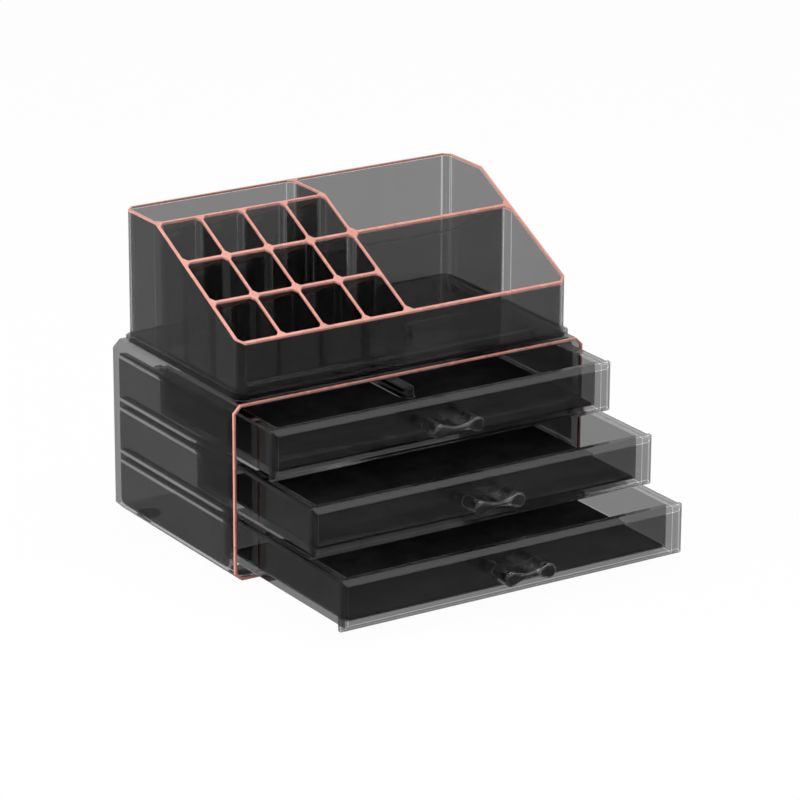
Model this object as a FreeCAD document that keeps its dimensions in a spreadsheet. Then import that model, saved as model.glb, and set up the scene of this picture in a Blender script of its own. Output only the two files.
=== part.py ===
import FreeCAD, Part
import os
import Sketcher

document = FreeCAD.newDocument("makeup_organizer")

# Driving dimensions in millimetres. X is the width, Y runs to the back and Z is up.
# The origin is on the table under the middle of the cabinet.
dimensions = {
    # Cabinet sleeve, open at the back, and the trim round its mouth
    "cabinet_width": 240,
    "cabinet_depth": 141,
    "cabinet_height": 106.5,
    "cabinet_wall": 2.5,
    "outer_chamfer": 4.6,
    "inner_chamfer": 2.6,
    "trim_depth": 2,
    "trim_width": 1.5,
    "trim_inner_chamfer": 3.7,
    # Feet
    "foot_height": 2,
    "foot_width": 13,
    "foot_length": 13,
    "foot_chamfer": 3.6,
    "foot_side_inset": 7.7,
    "foot_end_inset": 9.6,
    # Guide panels let into the side walls over an air gap, and the runner ribs on them
    "guide_thickness": 1,
    "guide_air_gap": 0.5,
    "guide_rear_margin": 5.7,
    "guide_low_margin": 0.4,
    "guide_high_margin": 0.4,
    "guide_radius": 4.5,
    "rib_thickness": 2.15,
    "rib_reach": 4.1,
    "slide_clearance": 0.3,
    "hold_down_clearance": 1.6,
    "stop_clearance": 0.3,
    # Lip on the roof that keeps the upper tray in place
    "lip_height": 3.5,
    "lip_thickness": 1.8,
    "lip_radius": 6,
    "lip_side_margin": 0.2,
    "lip_front_margin": 1.6,
    "lip_rear_margin": 1.8,
    "tray_clearance": 0.4,
    "seat_clearance": 0.3,
    # Drawer fronts
    "front_side_gap": 1.5,
    "front_gap": 2.25,
    "top_front_gap": 2.6,
    "bottom_front_gap": 3.2,
    "front_thickness": 4.9,
    "front_recess": 3,
    "bevel_width": 3.6,
    "bevel_depth": 2,
    # Drawer trays
    "drawer_rear_clearance": 1.9,
    "drawer_wall": 2,
    "drawer_floor": 3.1,
    "drawer_rise": 0.2,
    "drawer_rim_drop": 0.4,
    "drawer_corner": 2,
    "runner_setback": 0.8,
    "runner_reach": 4,
    "runner_thickness": 2,
    # How far each drawer stands open, as a share of its length
    "top_drawer_open_share": 0.298,
    "middle_drawer_open_share": 0.6227,
    "bottom_drawer_open_share": 0.8605,
    # Drawer pulls
    "pull_spacing": 25.4,
    "barrel_radius": 4.6,
    "waist_thickness": 3.4,
    "pull_length": 14.5,
    "pull_chamfer": 0.9,
    # Drawer liners
    "liner_thickness": 1,
    "liner_gap": 1.2,
    "liner_corner": 1.5,
    # Low divider in the top drawer
    "divider_width": 8,
    "divider_height": 7.2,
    "divider_length": 62.2,
    "divider_offset": 22,
    "divider_rounding": 1.2,
    # Upper tray
    "tray_height": 81.5,
    "tray_front_height": 34,
    "tray_shelf_depth": 37.5,
    "tray_wall": 1.6,
    "tray_floor": 2.6,
    "tray_chamfer": 4.6,
    "tray_trim": 1.2,
    "tray_divider_offset": 1,
    "cell_chamfer": 2.4,
    "room_chamfer": 3.4,
    # How far a cut runs past the piece
    "cut_overrun": 1,
}
lipstick_columns = 4
lipstick_rows = 3
levels = ("top", "middle", "bottom")
full_turn = Part.Circle().LastParameter
tiny_share = 1e-6
# A pattern step of this value keeps the common spacing
even_step = -1

sheet = document.addObject("Spreadsheet::Sheet", "dims")
for row, (name, number) in enumerate(dimensions.items(), 1):
    sheet.set(f"A{row}", name)
    sheet.set(f"B{row}", str(number))
    sheet.setAlias(f"B{row}", name)
document.recompute()


class Size:
    """A length together with the sheet expression that gives it."""

    def __init__(self, value, text):
        self.value = value
        self.text = text

    def __add__(self, other):
        return Size(self.value + other.value, f"({self.text} + {other.text})")

    def __sub__(self, other):
        return Size(self.value - other.value, f"({self.text} - {other.text})")

    def __neg__(self):
        return self * -1

    def __mul__(self, other):
        other = as_size(other)
        return Size(self.value * other.value, f"({self.text} * {other.text})")

    def __truediv__(self, other):
        other = as_size(other)
        return Size(self.value / other.value, f"({self.text} / {other.text})")


def as_size(item):
    return item if isinstance(item, Size) else Size(item, f"({item})")


def dim(name):
    return Size(float(sheet.get(name)), f"dims.{name}")


nothing = as_size(0)


# Sketch helpers

def plane_sketch(body, role, name, offset=nothing):
    sketch = body.newObject("Sketcher::SketchObject", name)
    plane = next(item for item in body.Origin.OriginFeatures if item.Role == role)
    sketch.AttachmentSupport = [(plane, "")]
    sketch.MapMode = "FlatFace"
    sketch.setExpression("AttachmentOffset.Base.z", offset.text)
    return sketch


def constrain(sketch, size, kind, *places):
    index = sketch.addConstraint(Sketcher.Constraint(kind, *places, size.value))
    sketch.setExpression(f"Constraints[{index}]", size.text)


def pin(sketch, geometry, point, x, y):
    constrain(sketch, x, "DistanceX", -1, 1, geometry, point)
    constrain(sketch, y, "DistanceY", -1, 1, geometry, point)


def join(sketch, kind, *ends):
    sketch.addConstraint(Sketcher.Constraint(kind, *ends))


def line(sketch, start, end):
    ends = [FreeCAD.Vector(x.value, y.value, 0) for x, y in (start, end)]
    return sketch.addGeometry(Part.LineSegment(*ends), False)


def arc(sketch, centre, radius, start, end):
    middle = FreeCAD.Vector(centre[0].value, centre[1].value, 0)
    circle = Part.Circle(middle, FreeCAD.Vector(0, 0, 1), radius.value)
    return sketch.addGeometry(Part.ArcOfCircle(circle, start, end), False)


def polygon(sketch, corners):
    count = len(corners)
    sides = [line(sketch, corners[i], corners[(i + 1) % count]) for i in range(count)]
    for index, side in enumerate(sides):
        join(sketch, "Coincident", side, 2, sides[(index + 1) % count], 1)
    for side, (x, y) in zip(sides, corners):
        pin(sketch, side, 1, x, y)


def rectangle(sketch, left, right, low, high):
    polygon(sketch, [(left, low), (right, low), (right, high), (left, high)])


def chamfered_rectangle(sketch, left, right, low, high, cut):
    polygon(sketch, [
        (left + cut, low), (right - cut, low), (right, low + cut), (right, high - cut),
        (right - cut, high), (left + cut, high), (left, high - cut), (left, low + cut),
    ])


def rounded_rectangle(sketch, left, right, low, high, radius):
    quarter = full_turn / 4
    west, east = left + radius, right - radius
    south, north = low + radius, high - radius
    sides = [line(sketch, (west, low), (east, low)), line(sketch, (right, south), (right, north)),
             line(sketch, (east, high), (west, high)), line(sketch, (left, north), (left, south))]
    centres = [(east, south), (east, north), (west, north), (west, south)]
    for index, centre in enumerate(centres):
        corner = arc(sketch, centre, radius, (index - 1) * quarter, index * quarter)
        join(sketch, "Tangent", sides[index], 2, corner, 1)
        join(sketch, "Tangent", corner, 2, sides[(index + 1) % len(sides)], 1)
        pin(sketch, corner, 3, *centre)
        constrain(sketch, radius, "Radius", corner)


def tongue(sketch, middle, half, tip, rear):
    """A strip along Y with a half-round end at its tip and a square end at the rear."""
    turn = tip + half
    near = line(sketch, (middle - half, rear), (middle - half, turn))
    bow = arc(sketch, (middle, turn), half, full_turn / 2, full_turn)
    far = line(sketch, (middle + half, turn), (middle + half, rear))
    end = line(sketch, (middle + half, rear), (middle - half, rear))
    join(sketch, "Tangent", near, 2, bow, 1)
    join(sketch, "Tangent", bow, 2, far, 1)
    join(sketch, "Coincident", far, 2, end, 1)
    join(sketch, "Coincident", end, 2, near, 1)
    join(sketch, "Vertical", near)
    join(sketch, "Vertical", far)
    join(sketch, "Horizontal", end)
    pin(sketch, bow, 3, middle, turn)
    constrain(sketch, half, "Radius", bow)
    constrain(sketch, rear, "DistanceY", -1, 1, end, 1)


def twin_barrels(sketch, reach, middle, radius, waist):
    """Two barrels either side of the middle, joined by a web with hollow faces tangent to both."""
    hollow = (reach * reach + waist * waist - radius * radius) / (radius - waist) / 2
    rise = hollow + waist
    lean = FreeCAD.Vector(1, 0, 0).getAngle(FreeCAD.Vector(reach.value, rise.value, 0))
    half = full_turn / 2
    right = arc(sketch, (reach, middle), radius, lean - half, half - lean)
    upper = arc(sketch, (nothing, middle + rise), hollow, half + lean, full_turn - lean)
    left = arc(sketch, (-reach, middle), radius, lean, full_turn - lean)
    lower = arc(sketch, (nothing, middle - rise), hollow, lean, half - lean)
    join(sketch, "Tangent", right, 2, upper, 2)
    join(sketch, "Tangent", upper, 1, left, 1)
    join(sketch, "Tangent", left, 2, lower, 2)
    join(sketch, "Tangent", lower, 1, right, 1)
    pin(sketch, right, 3, reach, middle)
    pin(sketch, left, 3, -reach, middle)
    for barrel in (right, left):
        constrain(sketch, radius, "Radius", barrel)
    for face in (upper, lower):
        constrain(sketch, hollow, "Radius", face)


# Feature helpers

def new_body(label):
    body = document.addObject("PartDesign::Body", label)
    body.Label = label
    return body


def place(body, x, y, z):
    for axis, size in (("x", x), ("y", y), ("z", z)):
        body.setExpression(f"Placement.Base.{axis}", size.text)


def pad(body, sketch, length, name, side="One side", backwards=False):
    feature = body.newObject("PartDesign::Pad", name)
    feature.Profile = sketch
    feature.SideType = side
    feature.Reversed = backwards
    feature.setExpression("Length", length.text)
    document.recompute()
    return feature


def pocket_inwards(body, sketch, depth, name, backwards):
    feature = body.newObject("PartDesign::Pocket", name)
    feature.Profile = sketch
    feature.Reversed = backwards
    feature.setExpression("Length", depth.text)
    document.recompute()
    return feature


def pocket_upwards(body, sketch, name):
    before = body.Shape.Volume
    feature = body.newObject("PartDesign::Pocket", name)
    feature.Profile = sketch
    feature.Type = "ThroughAll"
    feature.Reversed = True
    document.recompute()
    if not body.Shape.Volume < before:
        raise RuntimeError(f"{body.Label}: {name} removes nothing")
    return feature


def grid_of(body, feature, columns, column_pitch, rows, row_pitch, name):
    pattern = body.newObject("PartDesign::LinearPattern", name)
    pattern.Originals = [feature]
    axis = feature.Profile[0]
    pattern.Direction = (axis, ["H_Axis"])
    pattern.Mode = "Spacing"
    pattern.Occurrences = columns
    pattern.setExpression("Offset", column_pitch.text)
    pattern.Direction2 = (axis, ["V_Axis"])
    pattern.Mode2 = "Spacing"
    pattern.Occurrences2 = rows
    pattern.setExpression("Offset2", row_pitch.text)
    pattern.Spacings2 = [even_step] * (rows - 1)
    body.Tip = pattern
    document.recompute()
    return pattern


def dress(body, kind, base, names, name, **sizes):
    feature = body.newObject(f"PartDesign::{kind}", name)
    feature.Base = (base, names)
    if "Size2" in sizes:
        feature.ChamferType = "Two distances"
    for key, size in sizes.items():
        feature.setExpression(key, size.text)
    document.recompute()
    return feature


def outermost_face(shape, axis, side):
    """The name of the flat face that lies furthest out on one side."""
    found = []
    for index, face in enumerate(shape.Faces, 1):
        if getattr(face.normalAt(0, 0), axis) * side > 1 - tiny_share:
            found.append((getattr(face.CenterOfMass, axis) * side, f"Face{index}"))
    return max(found)[1]


# Cabinet: a chamfered sleeve, two guide panels, a trim ring round the mouth and four feet

half_width = dim("cabinet_width") / 2
half_depth = dim("cabinet_depth") / 2
wall = dim("cabinet_wall")
inner_face = half_width - wall
underside = dim("foot_height")
roof = underside + dim("cabinet_height")
trim_seat = half_depth - dim("trim_depth")
closed_front = dim("front_recess") + dim("front_thickness") - half_depth

opening = dim("cabinet_height") - wall * 2
outer_gaps = dim("top_front_gap") + dim("bottom_front_gap")
front_height = (opening - outer_gaps - dim("front_gap") * (len(levels) - 1)) / len(levels)
front_half = inner_face - dim("front_side_gap")
local_rim = front_height - dim("drawer_rim_drop")


def front_base(level):
    lowest = underside + wall + dim("bottom_front_gap")
    return lowest + (front_height + dim("front_gap")) * (len(levels) - 1 - level)


def outer_section(sketch):
    chamfered_rectangle(sketch, -half_width, half_width, underside, roof, dim("outer_chamfer"))


def inner_section(sketch):
    chamfered_rectangle(sketch, -inner_face, inner_face, underside + wall, roof - wall,
                        dim("inner_chamfer"))


# Each guide panel closes a recess in the side wall, with air left behind it
guide_front = closed_front + dim("stop_clearance")
guide_rear = half_depth - dim("guide_rear_margin")
flat_edge = wall + dim("inner_chamfer")
guide_low = underside + flat_edge + dim("guide_low_margin")
guide_high = roof - flat_edge - dim("guide_high_margin")
guide_back = inner_face + dim("guide_thickness")
recess_face = guide_back + dim("guide_air_gap")


def guide_outline(sketch):
    rounded_rectangle(sketch, guide_front, guide_rear, guide_low, guide_high, dim("guide_radius"))


def rib_edges():
    """Low and high edge of each rib: one under every runner, and one over the lower two."""
    edges = []
    for level in range(len(levels)):
        rim = front_base(level) + local_rim
        carry = rim - dim("runner_thickness") - dim("slide_clearance")
        edges.append((carry - dim("rib_thickness"), carry))
        if level > 0:
            hold = rim + dim("hold_down_clearance")
            edges.append((hold, hold + dim("rib_thickness")))
    return edges


# The lip stands inside the flat of the roof, and the upper tray inside the lip
lip_room = dim("lip_thickness") + dim("tray_clearance")
tray_half = half_width - dim("outer_chamfer") - dim("lip_side_margin") - lip_room
tray_near = dim("lip_front_margin") + lip_room - trim_seat
tray_far = half_depth - dim("lip_rear_margin") - lip_room


def make_sleeve():
    body = new_body("cabinet_sleeve")
    section = plane_sketch(body, "XZ_Plane", "SleeveSection", -half_depth)
    outer_section(section)
    inner_section(section)
    pad(body, section, half_depth + trim_seat, "SleeveWalls")
    for side, name in ((1, "RightRecess"), (-1, "LeftRecess")):
        plan = plane_sketch(body, "YZ_Plane", f"{name}Plan", recess_face * side)
        guide_outline(plan)
        pocket_inwards(body, plan, recess_face - inner_face + dim("cut_overrun"), name, side < 0)
    lip = plane_sketch(body, "XY_Plane", "LipPlan", roof)
    for growth in (nothing, dim("lip_thickness")):
        margin = dim("tray_clearance") + growth
        rounded_rectangle(lip, -tray_half - margin, tray_half + margin, tray_near - margin,
                          tray_far + margin, dim("lip_radius") + growth)
    pad(body, lip, dim("lip_height"), "TrayLip")
    return body


def make_guide_panel(label, side):
    body = new_body(label)
    outline = plane_sketch(body, "YZ_Plane", "PanelOutline", inner_face * side)
    guide_outline(outline)
    pad(body, outline, dim("guide_thickness"), "Panel", backwards=side < 0)
    ribs = plane_sketch(body, "YZ_Plane", "RibOutlines", recess_face * side)
    for low, high in rib_edges():
        rectangle(ribs, guide_front, guide_rear, low, high)
    pad(body, ribs, recess_face - inner_face + dim("rib_reach"), "RunnerRibs", backwards=side > 0)
    return body


def make_front_trim():
    body = new_body("front_trim")
    section = plane_sketch(body, "XZ_Plane", "TrimSection", trim_seat)
    outer_section(section)
    width = dim("trim_width")
    chamfered_rectangle(section, width - half_width, half_width - width, underside + width, roof - width,
                        dim("trim_inner_chamfer"))
    pad(body, section, dim("trim_depth"), "Trim")
    return body


def make_foot(label, side, end):
    body = new_body(label)
    plan = plane_sketch(body, "XY_Plane", "FootPlan")
    half_pad = dim("foot_width") / 2
    half_run = dim("foot_length") / 2
    chamfered_rectangle(plan, -half_pad, half_pad, -half_run, half_run, dim("foot_chamfer"))
    pad(body, plan, dim("foot_height"), "FootPad")
    reach = half_width - dim("foot_side_inset") - half_pad
    run = half_depth - dim("foot_end_inset") - half_run
    place(body, reach * side, run * end, nothing)
    return body


# Drawers: the origin of each is behind its front, level with the front's lower edge

runner_half = front_half - dim("runner_setback")
drawer_half = runner_half - dim("runner_reach")
drawer_length = half_depth - closed_front - dim("drawer_rear_clearance")
drawer_floor = dim("drawer_rise") + dim("drawer_floor")
inside_half = drawer_half - dim("drawer_wall")
inside_rear = drawer_length - dim("drawer_wall")
divider_tip = inside_rear - dim("divider_length")


def drawer_body(level, piece):
    body = new_body(f"{levels[level]}_drawer_{piece}")
    travel = drawer_length * dim(f"{levels[level]}_drawer_open_share")
    place(body, nothing, closed_front - travel, front_base(level))
    return body


def make_drawer_tray(level):
    body = drawer_body(level, "tray")
    plan = plane_sketch(body, "XY_Plane", "TrayPlan", dim("drawer_rise"))
    rectangle(plan, -drawer_half, drawer_half, nothing, drawer_length)
    pad(body, plan, local_rim - dim("drawer_rise"), "TrayBlock")
    runners = plane_sketch(body, "XZ_Plane", "RunnerSection")
    low = local_rim - dim("runner_thickness")
    rectangle(runners, drawer_half, runner_half, low, local_rim)
    rectangle(runners, -runner_half, -drawer_half, low, local_rim)
    pad(body, runners, drawer_length, "Runners", backwards=True)
    hollow = plane_sketch(body, "XY_Plane", "HollowPlan", drawer_floor)
    rounded_rectangle(hollow, -inside_half, inside_half, dim("drawer_wall"), inside_rear,
                      dim("drawer_corner"))
    pocket_upwards(body, hollow, "Hollow")
    return body


def make_drawer_front(level):
    body = drawer_body(level, "front")
    outline = plane_sketch(body, "XZ_Plane", "FrontOutline")
    rectangle(outline, -front_half, front_half, nothing, front_height)
    plate = pad(body, outline, dim("front_thickness"), "FrontPlate")
    dress(body, "Chamfer", plate, [outermost_face(plate.Shape, "y", -1)], "FrontBevel",
          Size=dim("bevel_depth"), Size2=dim("bevel_width"))
    return body


def make_drawer_pull(level):
    body = drawer_body(level, "pull")
    section = plane_sketch(body, "XZ_Plane", "PullSection", dim("front_thickness"))
    twin_barrels(section, dim("pull_spacing") / 2, front_height / 2, dim("barrel_radius"),
                 dim("waist_thickness") / 2)
    grip = pad(body, section, dim("pull_length"), "Grip")
    dress(body, "Chamfer", grip, [outermost_face(grip.Shape, "y", -1)], "GripChamfer",
          Size=dim("pull_chamfer"))
    return body


def make_drawer_liner(level):
    body = drawer_body(level, "liner")
    plan = plane_sketch(body, "XY_Plane", "LinerPlan", drawer_floor)
    gap = dim("liner_gap")
    rounded_rectangle(plan, gap - inside_half, inside_half - gap, dim("drawer_wall") + gap,
                      inside_rear - gap, dim("liner_corner"))
    pad(body, plan, dim("liner_thickness"), "LinerSheet")
    if levels[level] == "top":
        notch = plane_sketch(body, "XY_Plane", "NotchPlan", drawer_floor)
        tongue(notch, dim("divider_offset"), dim("divider_width") / 2 + gap, divider_tip - gap, inside_rear)
        pocket_upwards(body, notch, "DividerNotch")
    return body


def make_divider():
    body = drawer_body(0, "divider")
    plan = plane_sketch(body, "XY_Plane", "DividerPlan", drawer_floor)
    tongue(plan, dim("divider_offset"), dim("divider_width") / 2, divider_tip, inside_rear)
    rib = pad(body, plan, dim("divider_height"), "DividerRib")
    top = rib.Shape.getElement(outermost_face(rib.Shape, "z", 1))
    rear = max(edge.CenterOfMass.y for edge in top.Edges)
    kept = [edge for edge in top.Edges if edge.CenterOfMass.y < rear]
    names = [f"Edge{index}" for index, edge in enumerate(rib.Shape.Edges, 1)
             if any(edge.isSame(other) for other in kept)]
    dress(body, "Fillet", rib, names, "DividerRounding", Radius=dim("divider_rounding"))
    return body


# Upper tray: one moulding whose walls all end on the same flat and slope, and the trim on top of them

tray_base = roof + dim("seat_clearance")
tray_roof = roof + dim("tray_height")
front_roof = roof + dim("tray_front_height")
slope_break = tray_far - dim("tray_shelf_depth")
partition = dim("tray_wall")
left_end = partition - tray_half
left_stop = dim("tray_divider_offset") - partition / 2
right_start = dim("tray_divider_offset") + partition / 2
front_end = tray_near + partition
cells_rear = slope_break - partition / 2
cell_width = (left_stop - left_end - partition * (lipstick_columns - 1)) / lipstick_columns
cell_depth = (cells_rear - front_end - partition * (lipstick_rows - 1)) / lipstick_rows
cross_wall = front_end + (cell_depth + partition) * (lipstick_rows - 1) - partition


def cut_corners(body, height):
    """Bevels on the four upright corners, each the long side of a triangle that overruns the corner."""
    plan = plane_sketch(body, "XY_Plane", "CornerPlan", height)
    spare = dim("cut_overrun")
    cut = dim("tray_chamfer") + spare
    for side, x in ((1, -tray_half), (-1, tray_half)):
        for end, y in ((1, tray_near), (-1, tray_far)):
            edge_x = x - spare * side
            edge_y = y - spare * end
            polygon(plan, [(edge_x, edge_y), (x + cut * side, edge_y), (edge_x, y + cut * end)])
    pocket_upwards(body, plan, "CornerBevels")


def cut_compartments(body, height):
    """The lipstick cells, the slot behind them and the two compartments beside them."""
    cell = plane_sketch(body, "XY_Plane", "CellPlan", height)
    chamfered_rectangle(cell, left_end, left_end + cell_width, front_end, front_end + cell_depth,
                        dim("cell_chamfer"))
    first = pocket_upwards(body, cell, "LipstickCell")
    grid_of(body, first, lipstick_columns, cell_width + partition, lipstick_rows, cell_depth + partition,
            "LipstickCells")
    rooms = plane_sketch(body, "XY_Plane", "RoomPlan", height)
    rear = tray_far - partition
    cut = dim("room_chamfer")
    chamfered_rectangle(rooms, left_end, left_stop, cells_rear + partition, rear, cut)
    chamfered_rectangle(rooms, right_start, tray_half - partition, front_end, cross_wall, cut)
    chamfered_rectangle(rooms, right_start, tray_half - partition, cross_wall + partition, rear, cut)
    pocket_upwards(body, rooms, "Rooms")


def make_upper_tray():
    body = new_body("upper_tray")
    profile = plane_sketch(body, "YZ_Plane", "TrayProfile")
    trim = dim("tray_trim")
    polygon(profile, [(tray_near, tray_base), (tray_far, tray_base), (tray_far, tray_roof - trim),
                      (slope_break, tray_roof - trim), (tray_near, front_roof - trim)])
    pad(body, profile, tray_half * 2, "TrayBlock", side="Symmetric")
    cut_corners(body, tray_base)
    cut_compartments(body, tray_base + dim("tray_floor"))
    return body


def make_tray_trim():
    body = new_body("tray_trim")
    profile = plane_sketch(body, "YZ_Plane", "TrimProfile")
    trim = dim("tray_trim")
    polygon(profile, [(tray_near, front_roof - trim), (slope_break, tray_roof - trim),
                      (tray_far, tray_roof - trim), (tray_far, tray_roof), (slope_break, tray_roof),
                      (tray_near, front_roof)])
    pad(body, profile, tray_half * 2, "TrimBand", side="Symmetric")
    cut_corners(body, tray_base)
    cut_compartments(body, tray_base)
    return body


pieces = [make_sleeve(), make_guide_panel("left_guide_panel", -1), make_guide_panel("right_guide_panel", 1),
          make_front_trim()]
for end_name, end in (("front", -1), ("rear", 1)):
    for side_name, side in (("left", -1), ("right", 1)):
        pieces.append(make_foot(f"foot_{end_name}_{side_name}", side, end))
for level in range(len(levels)):
    for make in (make_drawer_tray, make_drawer_front, make_drawer_pull, make_drawer_liner):
        pieces.append(make(level))
pieces += [make_divider(), make_upper_tray(), make_tray_trim()]

document.recompute()
for item in document.Objects:
    if "Invalid" in item.State or "Error" in item.State:
        raise RuntimeError(f"{item.Label} failed: {item.State}")
for body in pieces:
    if body.Shape.isNull() or not body.Shape.isValid():
        raise RuntimeError(f"{body.Label} has no valid shape")

os.makedirs("parts", exist_ok=True)
for body in pieces:
    body.Shape.exportStep(f"parts/{body.Label}.step")
    print(body.Label, len(body.Shape.Solids), round(body.Shape.Volume), body.Shape.BoundBox)
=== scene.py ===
import math

import bmesh
import bpy
import numpy as np
from mathutils import Matrix, Vector


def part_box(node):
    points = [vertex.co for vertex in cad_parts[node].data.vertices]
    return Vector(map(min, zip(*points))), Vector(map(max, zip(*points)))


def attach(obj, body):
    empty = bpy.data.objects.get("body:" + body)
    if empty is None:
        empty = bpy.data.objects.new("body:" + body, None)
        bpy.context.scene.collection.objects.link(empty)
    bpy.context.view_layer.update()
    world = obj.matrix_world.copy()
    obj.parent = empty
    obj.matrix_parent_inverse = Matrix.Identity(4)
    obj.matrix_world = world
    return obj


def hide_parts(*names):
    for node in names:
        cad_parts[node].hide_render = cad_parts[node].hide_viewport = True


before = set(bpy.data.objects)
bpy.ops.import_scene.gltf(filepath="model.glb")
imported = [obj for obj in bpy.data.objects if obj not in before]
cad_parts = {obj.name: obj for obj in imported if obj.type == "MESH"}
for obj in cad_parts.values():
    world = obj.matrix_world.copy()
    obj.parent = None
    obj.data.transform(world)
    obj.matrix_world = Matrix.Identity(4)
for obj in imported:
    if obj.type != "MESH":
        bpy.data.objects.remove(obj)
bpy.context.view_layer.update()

# A view through the organizer passes many acrylic walls, so the rays need many bounces
scene = bpy.context.scene
scene.view_settings.view_transform = "Standard"
scene.cycles.max_bounces = 64
scene.cycles.transmission_bounces = 48
scene.cycles.glossy_bounces = 48
scene.cycles.transparent_max_bounces = 16
scene.cycles.diffuse_bounces = 4

levels = ("top", "middle", "bottom")


# Camera at the photograph's place, in metres, degrees and millimetres of lens
photoCamera = {
    "place": (-1.24786, -2.0052, 0.89222),
    "azimuth": -32.64,
    "elevation": 19.2,
    "roll": 0.27,
    "lens": 189.21,
    "sensor": 36.0,
}


def makeCamera(look):
    # forward follows from azimuth and elevation; right and up turn about it by the roll
    turn, rise, roll = (math.radians(look[key]) for key in ("azimuth", "elevation", "roll"))
    forward = Vector((-math.sin(turn) * math.cos(rise), math.cos(turn) * math.cos(rise), -math.sin(rise)))
    level = Vector((math.cos(turn), math.sin(turn), 0))
    upright = level.cross(forward)
    right = level * math.cos(roll) + upright * math.sin(roll)
    up = upright * math.cos(roll) - level * math.sin(roll)
    data = bpy.data.cameras.new("photoCamera")
    data.lens = look["lens"]
    data.sensor_width = look["sensor"]
    camera = bpy.data.objects.new("photoCamera", data)
    scene.collection.objects.link(camera)
    turned = Matrix((right, up, -forward)).transposed().to_4x4()
    camera.matrix_world = Matrix.Translation(look["place"]) @ turned
    scene.camera = camera


makeCamera(photoCamera)
print("camera set")


# Shader helpers

def newTree(name):
    material = bpy.data.materials.new(name)
    material.use_nodes = True
    return material, material.node_tree, material.node_tree.nodes["Principled BSDF"]


def addNode(tree, kind, **values):
    node = tree.nodes.new(kind)
    for key, value in values.items():
        if key in node.inputs:
            node.inputs[key].default_value = value
        else:
            setattr(node, key, value)
    return node


def wire(tree, source, output, target, entry):
    tree.links.new(source.outputs[output], target.inputs[entry])


def feed(tree, value, target, entry):
    # value is a number or a colour, or (node, output)
    if isinstance(value, tuple) and isinstance(value[0], bpy.types.Node):
        wire(tree, value[0], value[1], target, entry)
    else:
        target.inputs[entry].default_value = value


def maths(tree, operation, first, second, clamped=False):
    node = addNode(tree, "ShaderNodeMath", operation=operation, use_clamp=clamped)
    feed(tree, first, node, 0)
    feed(tree, second, node, 1)
    return node, 0


def mapRange(tree, value, fromMin, fromMax, toMin=0.0, toMax=1.0):
    node = addNode(tree, "ShaderNodeMapRange")
    feed(tree, value, node, "Value")
    feed(tree, fromMin, node, "From Min")
    feed(tree, fromMax, node, "From Max")
    feed(tree, toMin, node, "To Min")
    feed(tree, toMax, node, "To Max")
    return node, "Result"


def mixColours(tree, share, first, second, blend="MIX"):
    # entries 6 and 7 and output 2 are the colours of the Mix node
    node = addNode(tree, "ShaderNodeMix", data_type="RGBA", blend_type=blend)
    feed(tree, share, node, "Factor")
    feed(tree, first, node, 6)
    feed(tree, second, node, 7)
    return node, 2


def newGroup(name, entries, exits):
    group = bpy.data.node_groups.new(name, "ShaderNodeTree")
    for label, kind, start in entries:
        socket = group.interface.new_socket(label, in_out="INPUT", socket_type=kind)
        if start is not None:
            socket.default_value = start
    for label, kind in exits:
        group.interface.new_socket(label, in_out="OUTPUT", socket_type=kind)
    return group, group.nodes.new("NodeGroupInput"), group.nodes.new("NodeGroupOutput")


def placeGroup(tree, group, **values):
    node = tree.nodes.new("ShaderNodeGroup")
    node.node_tree = group
    for key, value in values.items():
        node.inputs[key].default_value = value
    return node


# Handling marks: two sizes of noise give a tint, a roughness and a height that drift over the surface
handling = {
    "broad": {"Detail": 3.0, "Roughness": 0.55},
    "fine": {"Detail": 2.0, "Roughness": 0.6},
    "finer": 14.0,                  # how many times smaller the fine noise is
    "tintRange": (0.35, 0.65),      # the stretch of the broad noise that tints
    "dullRange": (0.4, 0.7),        # and the one that dulls
}


def makeHandlingGroup(look):
    group, start, end = newGroup(
        "handlingMarks",
        [("Vector", "NodeSocketVector", None), ("Scale", "NodeSocketFloat", 40.0),
         ("Colour", "NodeSocketColor", (0.5, 0.5, 0.5, 1)), ("Shade", "NodeSocketFloat", 0.05),
         ("Smooth", "NodeSocketFloat", 0.02), ("Dull", "NodeSocketFloat", 0.06)],
        [("Colour", "NodeSocketColor"), ("Roughness", "NodeSocketFloat"), ("Height", "NodeSocketFloat")])
    broad = addNode(group, "ShaderNodeTexNoise", **look["broad"])
    fine = addNode(group, "ShaderNodeTexNoise", **look["fine"])
    wire(group, start, "Vector", broad, "Vector")
    wire(group, start, "Vector", fine, "Vector")
    wire(group, start, "Scale", broad, "Scale")
    feed(group, maths(group, "MULTIPLY", (start, "Scale"), look["finer"]), fine, "Scale")
    lowest = maths(group, "SUBTRACT", 1.0, (start, "Shade"))
    darken = mapRange(group, (broad, "Fac"), *look["tintRange"], lowest)
    tint = mixColours(group, 1.0, (start, "Colour"), darken, "MULTIPLY")
    feed(group, tint, end, "Colour")
    dulling = mapRange(group, (broad, "Fac"), *look["dullRange"], (start, "Smooth"), (start, "Dull"))
    feed(group, dulling, end, "Roughness")
    wire(group, fine, "Fac", end, "Height")
    return group


# Base plate: 1 where a point lies below a height and within a half width of the middle, 0 elsewhere
def makeBasePlateGroup():
    group, start, end = newGroup(
        "basePlate",
        [("Vector", "NodeSocketVector", None), ("Height", "NodeSocketFloat", 0.005),
         ("Half width", "NodeSocketFloat", 0.1)],
        [("Mask", "NodeSocketFloat")])
    split = addNode(group, "ShaderNodeSeparateXYZ")
    wire(group, start, "Vector", split, "Vector")
    low = maths(group, "LESS_THAN", (split, "Z"), (start, "Height"))
    aside = maths(group, "ABSOLUTE", (split, "X"), 0.0)
    within = maths(group, "LESS_THAN", aside, (start, "Half width"))
    feed(group, maths(group, "MULTIPLY", low, within), end, "Mask")
    return group


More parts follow.
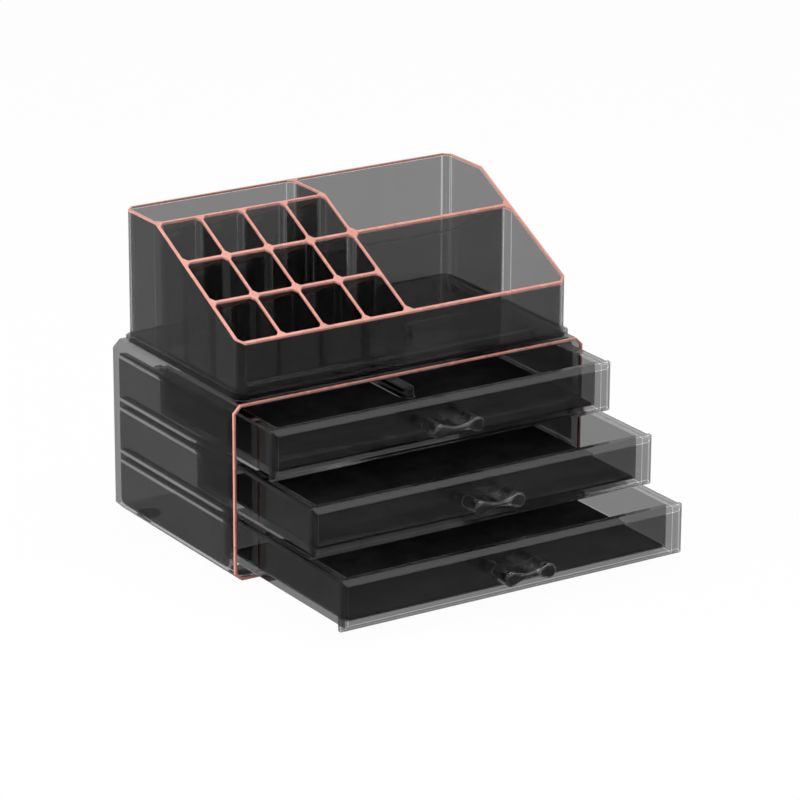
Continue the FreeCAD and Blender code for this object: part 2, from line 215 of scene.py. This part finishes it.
handlingMarks = makeHandlingGroup(handling)
basePlate = makeBasePlateGroup()

acrylicLook = {
    "colour": (0.245, 0.245, 0.248, 1),     # what one wall lets through
    "shade": 0.04,
    "scale": 18.0,
    "bend": 1.045,                          # the photographed plates hardly bend what is seen through them
    "gloss": 1.25,                          # and mirror faintly
    "edge": (1, 1, 1, 1),                   # painted highlight: the softened edge faces take no tint, so they show as light lines
    "base": (0.65, 0.65, 0.653, 1),         # the cabinet's floor plate lets more through
    "baseTop": 0.0052,
    "baseHalf": 0.1174,
}
drawerLook = {**acrylicLook, "gloss": 1.38}
trayLook = {**acrylicLook, "gloss": 1.5}
pullLook = {**acrylicLook, "colour": (0.1, 0.1, 0.101, 1), "bend": 1.18, "gloss": 1.5}


def makeAcrylic(name, look):
    material, tree, shader = newTree(name)
    place = addNode(tree, "ShaderNodeTexCoord")
    marks = placeGroup(tree, handlingMarks, Scale=look["scale"], Colour=look["colour"], Shade=look["shade"])
    wire(tree, place, "Object", marks, "Vector")
    plate = placeGroup(tree, basePlate, **{"Height": look["baseTop"], "Half width": look["baseHalf"]})
    wire(tree, place, "Object", plate, "Vector")
    # painted highlight: the faces that soften the edges get the untinted edge colour and show as light lines
    edgeHighlightMask = addNode(tree, "ShaderNodeAttribute", attribute_name="softEdge")
    wall = mixColours(tree, (plate, "Mask"), (marks, "Colour"), look["base"])
    colour = mixColours(tree, (edgeHighlightMask, "Fac"), wall, look["edge"])
    feed(tree, colour, shader, "Base Color")
    shader.inputs["Roughness"].default_value = 0.0
    shader.inputs["Transmission Weight"].default_value = 1.0
    shader.inputs["IOR"].default_value = look["bend"]
    shader.inputs["Coat Weight"].default_value = 1.0
    shader.inputs["Coat IOR"].default_value = look["gloss"]
    shader.inputs["Coat Roughness"].default_value = 0.0
    return material


roseLook = {
    "colour": (0.82, 0.345, 0.275, 1),
    "shade": 0.06,
    "scale": 60.0,
    "smooth": 0.24,
    "dull": 0.34,
    "grain": 0.08,
    "grainDepth": 0.00005,
    "metal": 0.2,
    "lacquer": 0.6,
    "lacquerSoft": 0.15,
}
rubberLook = {
    "colour": (0.012, 0.012, 0.012, 1),
    "shade": 0.3,
    "scale": 120.0,
    "smooth": 0.55,
    "dull": 0.8,
    "grain": 0.35,
    "grainDepth": 0.0001,
}


def makeMarkedFinish(name, look):
    material, tree, shader = newTree(name)
    place = addNode(tree, "ShaderNodeTexCoord")
    marks = placeGroup(tree, handlingMarks, Scale=look["scale"], Colour=look["colour"], Shade=look["shade"],
                       Smooth=look["smooth"], Dull=look["dull"])
    wire(tree, place, "Object", marks, "Vector")
    wire(tree, marks, "Colour", shader, "Base Color")
    wire(tree, marks, "Roughness", shader, "Roughness")
    grain = addNode(tree, "ShaderNodeBump", Strength=look["grain"], Distance=look["grainDepth"])
    wire(tree, marks, "Height", grain, "Height")
    wire(tree, grain, "Normal", shader, "Normal")
    return material, shader


def makeRubber(name, look):
    material, shader = makeMarkedFinish(name, look)
    return material


def makeRoseGold(name, look):
    material, shader = makeMarkedFinish(name, look)
    shader.inputs["Metallic"].default_value = look["metal"]
    shader.inputs["Coat Weight"].default_value = look["lacquer"]
    shader.inputs["Coat Roughness"].default_value = look["lacquerSoft"]
    return material


feltLook = {
    "dark": (0.018, 0.018, 0.0185, 1),
    "light": (0.06, 0.06, 0.062, 1),
    "fibre": {"Scale": 2600.0, "Detail": 3.0, "Roughness": 0.7, "Distortion": 0.6},
    "cloud": {"Scale": 45.0, "Detail": 4.0, "Roughness": 0.6},
    "spread": (0.14, 0.36),     # the product of both noises runs from dark to light between these
    "nap": 0.5,
    "napDepth": 0.0002,
    "rough": 0.95,
    "shine": 0.2,
}


def makeFelt(name, look):
    material, tree, shader = newTree(name)
    place = addNode(tree, "ShaderNodeTexCoord")
    fibre = addNode(tree, "ShaderNodeTexNoise", **look["fibre"])
    cloud = addNode(tree, "ShaderNodeTexNoise", **look["cloud"])
    wire(tree, place, "Object", fibre, "Vector")
    wire(tree, place, "Object", cloud, "Vector")
    blend = maths(tree, "MULTIPLY", (fibre, "Fac"), (cloud, "Fac"))
    colour = mixColours(tree, mapRange(tree, blend, *look["spread"]), look["dark"], look["light"])
    feed(tree, colour, shader, "Base Color")
    nap = addNode(tree, "ShaderNodeBump", Strength=look["nap"], Distance=look["napDepth"])
    wire(tree, fibre, "Fac", nap, "Height")
    wire(tree, nap, "Normal", shader, "Normal")
    shader.inputs["Roughness"].default_value = look["rough"]
    shader.inputs["Specular IOR Level"].default_value = look["shine"]
    return material


smokyAcrylic = makeAcrylic("smokyAcrylic", acrylicLook)
drawerAcrylic = makeAcrylic("drawerAcrylic", drawerLook)
trayAcrylic = makeAcrylic("trayAcrylic", trayLook)
pullAcrylic = makeAcrylic("pullAcrylic", pullLook)
roseGold = makeRoseGold("roseGold", roseLook)
blackFelt = makeFelt("blackFelt", feltLook)
blackRubber = makeRubber("blackRubber", rubberLook)
print("materials made")


# Pieces that keep the CAD shape: copies welded, joined where the real ones are bonded, with softened edges
bonding = {
    "weld": 0.000002,
    "flat": math.radians(0.4),
    "edgeAngle": math.radians(28),
    "flatWeight": 100,      # large faces stay flat in the shading of rounded pieces
}


def tidyMesh(target, flatten):
    bmesh.ops.remove_doubles(target, verts=target.verts, dist=bonding["weld"])
    if flatten:
        bmesh.ops.dissolve_limit(target, angle_limit=bonding["flat"], verts=target.verts, edges=target.edges)


def weldedCopy(nodeName, alone):
    # a piece that is to be joined keeps its triangles, which join more cleanly than large faces
    copy = bmesh.new()
    copy.from_mesh(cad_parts[nodeName].data)
    tidyMesh(copy, alone)
    mesh = bpy.data.meshes.new(nodeName + "_welded")
    copy.to_mesh(mesh)
    copy.free()
    return mesh


def linkPiece(name, mesh, material):
    piece = bpy.data.objects.new(name, mesh)
    scene.collection.objects.link(piece)
    piece.data.materials.clear()
    piece.data.materials.append(material)
    return piece


def bakeModifiers(piece):
    graph = bpy.context.evaluated_depsgraph_get()
    found = piece.evaluated_get(graph)
    mesh = bpy.data.meshes.new_from_object(found, preserve_all_data_layers=True, depsgraph=graph)
    piece.modifiers.clear()
    piece.data = mesh


def joinPieces(piece, others, narrow):
    for other in others:
        union = piece.modifiers.new("bond", "BOOLEAN")
        union.operation = "UNION"
        union.solver = "EXACT"
        union.object = other
    bakeModifiers(piece)
    for other in others:
        bpy.data.objects.remove(other)
    joined = bmesh.new()
    joined.from_mesh(piece.data)
    tidyMesh(joined, True)
    if narrow:
        bmesh.ops.triangulate(joined, faces=[face for face in joined.faces if len(face.verts) > 4])
    joined.to_mesh(piece.data)
    joined.free()


def drawIn(piece, distance):
    # each point moves inwards along its normal, so that touching pieces keep a hair of air between them
    count = len(piece.data.vertices)
    places = np.empty(count * 3)
    normals = np.empty(count * 3)
    piece.data.vertices.foreach_get("co", places)
    piece.data.vertices.foreach_get("normal", normals)
    piece.data.vertices.foreach_set("co", places - normals * distance)


def markEdges(piece):
    # the attribute softEdge is 1 on the faces that soften the edges and 0 on the rest
    mesh = piece.data
    marks = np.empty(len(mesh.polygons), np.int32)
    mesh.polygons.foreach_get("material_index", marks)
    mesh.attributes.new("softEdge", "FLOAT", "FACE").data.foreach_set("value", marks.astype(np.float32))
    mesh.polygons.foreach_set("material_index", np.zeros_like(marks))
    mesh.materials.pop(index=1)


def softenEdges(piece, width, segments, rounded, narrow):
    # the bevel's faces take a second material slot, which only marks them
    piece.data.materials.append(piece.data.materials[0])
    bevel = piece.modifiers.new("softEdges", "BEVEL")
    bevel.width = width
    bevel.segments = segments
    bevel.limit_method = "ANGLE"
    bevel.angle_limit = bonding["edgeAngle"]
    bevel.use_clamp_overlap = not narrow
    bevel.material = 1
    if rounded:
        shading = piece.modifiers.new("evenShading", "WEIGHTED_NORMAL")
        shading.weight = bonding["flatWeight"]
    piece.data.polygons.foreach_set("use_smooth", np.full(len(piece.data.polygons), rounded))
    bakeModifiers(piece)
    markEdges(piece)


def bondedPiece(name, nodes, body, slot, material, edge, segments=2, air=0.0, rounded=False, narrow=False):
    # narrow: ledges are thinner than two soft edges, so the faces are split and the edges keep their width
    piece = linkPiece(name, weldedCopy(nodes[0], len(nodes) == 1), material)
    others = [linkPiece(other + "_joined", weldedCopy(other, False), material) for other in nodes[1:]]
    if others:
        joinPieces(piece, others, narrow)
    drawIn(piece, air)
    softenEdges(piece, edge, segments, rounded, narrow)
    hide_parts(*nodes)
    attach(piece, body)
    return piece


def openEdges(piece):
    found = bmesh.new()
    found.from_mesh(piece.data)
    count = sum(not edge.is_manifold for edge in found.edges)
    found.free()
    return count


def report(kind, piece):
    print(f"{kind}:", piece.name, len(piece.data.polygons), "faces,", openEdges(piece), "open edges")


# Acrylic pieces: width of the softened edge, its segments, and the air to the neighbours, in metres
cabinet = {"edge": 0.00015}
drawer = {"edge": 0.00025, "narrow": True}
pull = {"edge": 0.0004, "segments": 3, "air": 0.00003, "rounded": True}
upperTray = {"edge": 0.0003}

cabinetNodes = ["cabinet_sleeve", "left_guide_panel", "right_guide_panel"]
report("acrylic", bondedPiece("cabinetShell", cabinetNodes, "cabinet", "smoky_acrylic",
                              smokyAcrylic, **cabinet))
for level in levels:
    body = f"{level}_drawer"
    report("acrylic", bondedPiece(f"{level}Drawer", [f"{body}_tray", f"{body}_front"], body, "smoky_acrylic",
                                  drawerAcrylic, **drawer))
    report("acrylic", bondedPiece(f"{level}Pull", [f"{body}_pull"], body, "smoky_acrylic",
                                  pullAcrylic, **pull))
report("acrylic", bondedPiece("topDivider", ["top_drawer_divider"], "top_drawer", "smoky_acrylic",
                              pullAcrylic, **pull))
report("acrylic", bondedPiece("cosmeticsTray", ["upper_tray"], "cosmetics_tray", "smoky_acrylic",
                              trayAcrylic, **upperTray))

mouthEdging = {"edge": 0.0003, "segments": 3, "air": 0.00008}
trayEdging = {"edge": 0.00025, "segments": 3, "air": 0.00008}
report("trim", bondedPiece("mouthTrim", ["front_trim"], "cabinet", "rose_gold", roseGold, **mouthEdging))
report("trim", bondedPiece("trayTrim", ["tray_trim"], "cosmetics_tray", "rose_gold", roseGold, **trayEdging))

foot = {"edge": 0.0005, "segments": 3, "air": 0.00003}
for end in ("front", "rear"):
    for side in ("left", "right"):
        report("foot", bondedPiece(f"{end}{side.title()}Foot", [f"foot_{end}_{side}"], "cabinet",
                                   "black_rubber", blackRubber, **foot))


# Felt liners: z over a grid in x and y, with a slow ripple of two crossed sines
felt = {
    "step": 0.002,
    "corner": 0.0015,
    "thickness": 0.0008,
    "lift": 0.00006,
    "ripple": 0.00008,
    "waves": (61.0, 83.0),
    "edge": 0.00025,
    "edgeSegments": 2,
    "edgeAngle": math.radians(50),
    "gap": 0.0012,          # between the divider and the slot round it
    "weld": 0.00004,
}


def gridFaces(rows, columns):
    # each cell's four corners, counted row by row
    corner = (np.arange(rows - 1)[:, None] * columns + np.arange(columns - 1)[None, :]).ravel()
    return np.stack([corner, corner + 1, corner + columns + 1, corner + columns], axis=1)


def cornerInset(distance, radius):
    # how far a round corner draws the side in, at a distance from the end
    reach = np.clip(radius - distance, 0, radius)
    return radius - np.sqrt(radius ** 2 - reach ** 2)


def straightLine(place):
    return lambda along: np.full_like(np.asarray(along, float), place)


def stepCount(length):
    return max(3, int(round(length / felt["step"])) + 1)


def feltPatch(left, right, near, far, steps):
    # left, right, near and far are functions that bound the patch; points run evenly between them
    across, along = np.meshgrid(np.linspace(0, 1, steps[0]), np.linspace(0, 1, steps[1]))
    guess = near(0.5) + (far(0.5) - near(0.5)) * along
    x = left(guess) + (right(guess) - left(guess)) * across
    y = near(x) + (far(x) - near(x)) * along
    z = felt["ripple"] * np.sin(x * felt["waves"][0]) * np.sin(y * felt["waves"][1])
    points = np.stack([x.ravel(), y.ravel(), z.ravel()], axis=1)
    return points, gridFaces(steps[1], steps[0])


def plainPatches(low, high, west, east):
    steps = (stepCount(high.x - low.x), stepCount(high.y - low.y))
    return [feltPatch(west, east, straightLine(low.y), straightLine(high.y), steps)]


def slottedPatches(low, high, west, east):
    # three bands end at the bow round the divider's tip, and the outer two go on beside it to the rear
    ribLow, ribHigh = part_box("top_drawer_divider")
    middle = (ribLow.x + ribHigh.x) / 2
    half = (ribHigh.x - ribLow.x) / 2 + felt["gap"]
    turn = ribLow.y + half - felt["gap"]

    def bow(x):
        # a half circle round the tip, and level with its centre beyond it
        return turn - np.sqrt(np.clip(half ** 2 - (np.asarray(x, float) - middle) ** 2, 0, None))

    slotWest, slotEast = middle - half, middle + half
    bands = [(west, straightLine(slotWest), slotWest - low.x),
             (straightLine(slotWest), straightLine(slotEast), 2 * half),
             (straightLine(slotEast), east, high.x - slotEast)]
    patches = []
    for left, right, width in bands:
        steps = (stepCount(width), stepCount(turn - low.y))
        patches.append(feltPatch(left, right, straightLine(low.y), bow, steps))
    for left, right, width in (bands[0], bands[2]):
        steps = (stepCount(width), stepCount(high.y - turn))
        patches.append(feltPatch(left, right, bow, straightLine(high.y), steps))
    return patches


def weldPatches(name, patches, height):
    offsets = np.cumsum([0] + [len(points) for points, faces in patches])
    allPoints = np.concatenate([points for points, faces in patches])
    allPoints[:, 2] += height
    allFaces = np.concatenate([faces + offset for (points, faces), offset in zip(patches, offsets)])
    mesh = bpy.data.meshes.new(name)
    mesh.from_pydata(allPoints, [], allFaces)
    welded = bmesh.new()
    welded.from_mesh(mesh)
    bmesh.ops.remove_doubles(welded, verts=welded.verts, dist=felt["weld"])
    bmesh.ops.recalc_face_normals(welded, faces=welded.faces)
    area = sum(face.calc_area() for face in welded.faces)
    welded.to_mesh(mesh)
    welded.free()
    return mesh, area


def makeLiner(level):
    node = f"{level}_drawer_liner"
    low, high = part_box(node)

    def inset(y):
        return cornerInset(np.minimum(y - low.y, high.y - y), felt["corner"])

    def west(y):
        return low.x + inset(y)

    def east(y):
        return high.x - inset(y)

    patches = (slottedPatches if level == "top" else plainPatches)(low, high, west, east)
    height = low.z + felt["lift"] + felt["ripple"] + felt["thickness"] / 2
    mesh, area = weldPatches(f"{level}Liner", patches, height)
    piece = linkPiece(f"{level}Liner", mesh, blackFelt)
    sheet = piece.modifiers.new("thickness", "SOLIDIFY")
    sheet.thickness = felt["thickness"]
    sheet.offset = 0
    rounding = piece.modifiers.new("rounding", "BEVEL")
    rounding.width = felt["edge"]
    rounding.segments = felt["edgeSegments"]
    rounding.limit_method = "ANGLE"
    rounding.angle_limit = felt["edgeAngle"]
    piece.data.polygons.foreach_set("use_smooth", np.ones(len(piece.data.polygons), bool))
    bakeModifiers(piece)
    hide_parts(node)
    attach(piece, f"{level}_drawer")
    return piece


for level in levels:
    report("liner", makeLiner(level))


# Studio: pale floor, white surroundings and soft boxes
studio = {
    "floorSize": 6.0,
    "floorDrop": 0.0003,
    "floorColour": (0.86, 0.86, 0.86, 1),
    "floorRough": 0.9,
    "floorShadow": 0.03,        # the share of the floor's own shading that the camera sees
    "floorMirrored": 0.22,      # how bright the floor and the sky are in a mirrored view
    "skyMirrored": 0.6,
    "horizon": 0.12,
    "fill": 0.14,
}


def rayKinds(tree):
    # 1 where the camera looks, directly or through acrylic; 1 where something mirrors
    path = addNode(tree, "ShaderNodeLightPath")
    seen = maths(tree, "ADD", (path, "Is Camera Ray"), (path, "Is Transmission Ray"), True)
    mirrored = maths(tree, "SUBTRACT", (path, "Is Glossy Ray"), (path, "Is Transmission Ray"), True)
    return seen, mirrored


def makeWorld(look):
    # white where it is seen, dimmer from sky to floor where it is mirrored, and a low fill for the rest
    world = bpy.data.worlds.new("studio")
    scene.world = world
    world.use_nodes = True
    tree = world.node_tree
    seen, mirrored = rayKinds(tree)
    place = addNode(tree, "ShaderNodeTexCoord")
    split = addNode(tree, "ShaderNodeSeparateXYZ")
    wire(tree, place, "Generated", split, "Vector")
    height = mapRange(tree, (split, "Z"), -look["horizon"], look["horizon"],
                      look["floorMirrored"], look["skyMirrored"])
    reflection = maths(tree, "MULTIPLY", mirrored, height)
    direct = maths(tree, "ADD", seen, reflection)
    either = maths(tree, "ADD", seen, mirrored, True)
    rest = maths(tree, "SUBTRACT", 1.0, either)
    filling = maths(tree, "MULTIPLY", rest, look["fill"])
    back = tree.nodes["Background"]
    back.inputs["Color"].default_value = (1, 1, 1, 1)
    feed(tree, maths(tree, "ADD", direct, filling), back, "Strength")


def makeFloor(look):
    # white glow where it is seen or mirrored, mixed with a little plain floor that takes the shadow
    half = look["floorSize"] / 2
    corners = [(-half, -half, 0), (half, -half, 0), (half, half, 0), (-half, half, 0)]
    mesh = bpy.data.meshes.new("floor")
    mesh.from_pydata(corners, [], [(0, 1, 2, 3)])
    mesh.transform(Matrix.Translation((0, 0, -look["floorDrop"])))
    material, tree, shader = newTree("paleFloor")
    shader.inputs["Base Color"].default_value = look["floorColour"]
    shader.inputs["Roughness"].default_value = look["floorRough"]
    shader.inputs["Specular IOR Level"].default_value = 0.0
    seen, mirrored = rayKinds(tree)
    dimmed = maths(tree, "MULTIPLY", mirrored, 1 - look["floorMirrored"])
    white = addNode(tree, "ShaderNodeEmission", Color=(1, 1, 1, 1))
    feed(tree, maths(tree, "SUBTRACT", 1.0, dimmed), white, "Strength")
    bare = maths(tree, "MULTIPLY", seen, 1 - look["floorShadow"])
    choose = addNode(tree, "ShaderNodeMixShader")
    feed(tree, maths(tree, "ADD", bare, mirrored, True), choose, 0)
    wire(tree, shader, 0, choose, 1)
    wire(tree, white, 0, choose, 2)
    wire(tree, choose, 0, tree.nodes["Material Output"], "Surface")
    floor = bpy.data.objects.new("floor", mesh)
    scene.collection.objects.link(floor)
    floor.data.materials.append(material)


# Each box glows with its own radiance; the left one lights without being mirrored
softBoxes = {
    "overhead": {"place": (0.1, -0.2, 1.9), "aim": (0, -0.05, 0.1), "size": (1.8, 1.4),
                 "glow": 3.0, "mirrored": True},
    "frontRight": {"place": (0.85, -1.35, 0.98), "aim": (0, -0.12, 0.07), "size": (1.0, 0.7),
                   "glow": 2.0, "mirrored": True},
    "leftSide": {"place": (-1.7, 0.1, 0.5), "aim": (-0.1, -0.05, 0.08), "size": (1.2, 1.0),
                 "glow": 8.5, "mirrored": False},
}


def makeSoftBoxes(boxes):
    # a lamp's power is its radiance times pi times its area
    for name, box in boxes.items():
        lamp = bpy.data.lights.new(name, "AREA")
        lamp.shape = "RECTANGLE"
        lamp.size, lamp.size_y = box["size"]
        lamp.energy = box["glow"] * math.pi * box["size"][0] * box["size"][1]
        holder = bpy.data.objects.new(name, lamp)
        direction = Vector(box["aim"]) - Vector(box["place"])
        holder.location = box["place"]
        holder.rotation_euler = direction.to_track_quat("-Z", "Y").to_euler()
        holder.visible_glossy = box["mirrored"]
        scene.collection.objects.link(holder)


makeWorld(studio)
makeFloor(studio)
makeSoftBoxes(softBoxes)
print("studio set")
